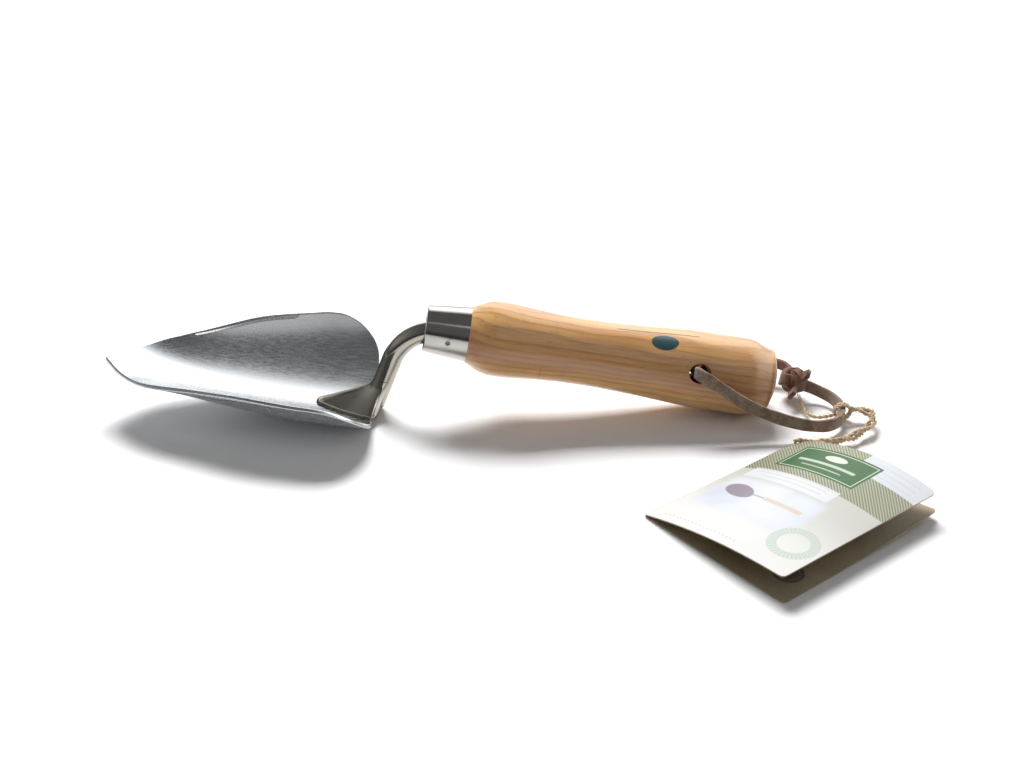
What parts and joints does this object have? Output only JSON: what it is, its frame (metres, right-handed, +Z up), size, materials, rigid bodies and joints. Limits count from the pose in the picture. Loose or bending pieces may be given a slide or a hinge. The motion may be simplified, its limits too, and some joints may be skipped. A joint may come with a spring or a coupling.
{
  "type": "hand trowel",
  "caption": "Heart-bladed steel hand trowel with a cranked neck, ferruled turned-wood grip, leather hanging thong and a folded card tag on twine.",
  "frame": {"origin": "on the floor under the middle of the trowel, without its thong and tag", "axes": "+Z up from the floor the trowel rests on, +X from the blade's nose to the handle's butt, +Y to the left of someone looking from nose to butt"},
  "size_m": [0.3274, 0.1789, 0.0492],
  "materials": {
    "blade_steel": "satin, brushed along the length",
    "neck_steel": "polished",
    "weld_steel": "as welded, lightly polished",
    "ferrule_steel": "polished",
    "pin_steel": "dull",
    "ash": "clear lacquer, satin gloss",
    "thong_leather": "rough",
    "jute": "fuzzy natural fibre",
    "back_card": "matt",
    "front_card": "printed, semi-gloss"
  },
  "bodies": {
    "trowel": {"blade": "blade_steel", "neck": "neck_steel", "weld_bead": "weld_steel", "ferrule": "ferrule_steel", "ferrule_pin": "pin_steel", "handle": "ash"},
    "thong": {"thong_near": "thong_leather", "thong_far": "thong_leather", "thong_knot": "thong_leather", "thong_ends": "thong_leather"},
    "tag": {"twine_hitch": "jute", "tag_twine": "jute", "twine_tail": "jute", "tag_back_leaf": "back_card"},
    "tag_front": {"tag_front_leaf": "front_card"}
  },
  "joints": [
    {"name": "thong_swing", "type": "hinge", "parent": "trowel", "child": "thong", "pos_m": [0.10504, 0, 0.01943], "axis": [0, -0.9336, 0.3584], "range_deg": [-90, 120]},
    {"name": "tag_swing", "type": "hinge", "parent": "thong", "child": "tag", "pos_m": [0.1664, -0.0094, 0.0044], "axis": [0, 1, 0], "range_deg": [-45, 90]},
    {"name": "tag_fold", "type": "hinge", "parent": "tag", "child": "tag_front", "pos_m": [0.145, -0.0286, 0.0007], "axis": [-0.7749, -0.632, 0], "range_deg": [-5, 80]}
  ]
}
